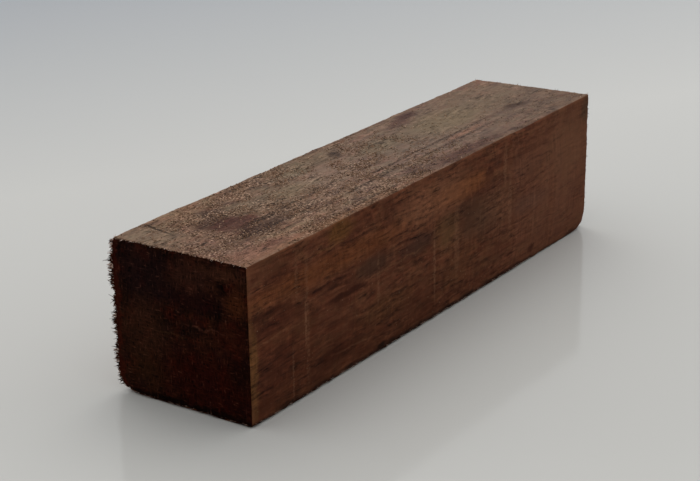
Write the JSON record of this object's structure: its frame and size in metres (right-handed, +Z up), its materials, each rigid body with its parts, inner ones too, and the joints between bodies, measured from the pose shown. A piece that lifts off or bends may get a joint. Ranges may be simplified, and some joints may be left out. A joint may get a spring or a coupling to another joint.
{
  "type": "snakewood block",
  "caption": "Rough-sawn square bar of dark red-brown snakewood with worn arrises and torn fibres along its end, lying on a flat face.",
  "frame": {"origin": "centre of the flat bottom face that the block lies on", "axes": "+X along the grain, from the frayed near end to the far end; +Y across the width, away from the long side that the picture shows; +Z up"},
  "size_m": [0.1527, 0.0377, 0.0374],
  "materials": {
    "sawn_snakewood": "rough-sawn, dry and matt"
  },
  "bodies": {
    "root": {"snakewood_block": "sawn_snakewood"}
  },
  "joints": []
}
